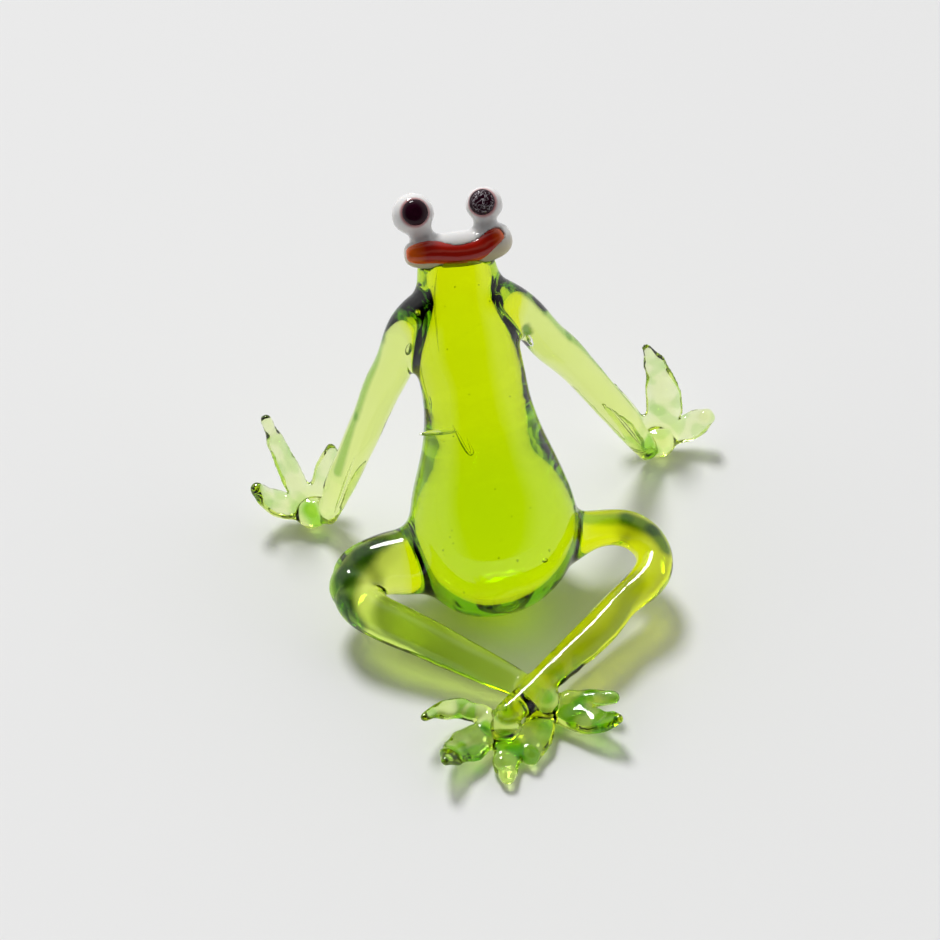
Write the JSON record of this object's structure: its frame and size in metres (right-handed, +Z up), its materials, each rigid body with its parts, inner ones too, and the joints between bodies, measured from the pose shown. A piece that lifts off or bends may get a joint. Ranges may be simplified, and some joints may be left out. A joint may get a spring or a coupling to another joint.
{
  "type": "lampworked glass frog figurine",
  "caption": "Small transparent green glass frog that sits with crossed shins and leans back on its hands, with white eye bulbs, dark pupils, and a red mouth in white lips.",
  "frame": {"origin": "centre of the small flat under the rump that the frog sits on", "axes": "+Z up, the frog faces -Y, +X is on the right of someone who looks it in the face"},
  "size_m": [0.0853, 0.0775, 0.0657],
  "materials": {
    "green_glass": "fire-polished transparent",
    "white_glass": "fire-polished opal",
    "red_glass": "fire-polished opaque",
    "dark_glass": "fire-polished opaque"
  },
  "bodies": {
    "root": {"green_body": "green_glass", "white_lips": "white_glass", "red_mouth": "red_glass", "left_eye": "white_glass", "right_eye": "white_glass", "left_pupil": "dark_glass", "right_pupil": "dark_glass"}
  },
  "joints": []
}
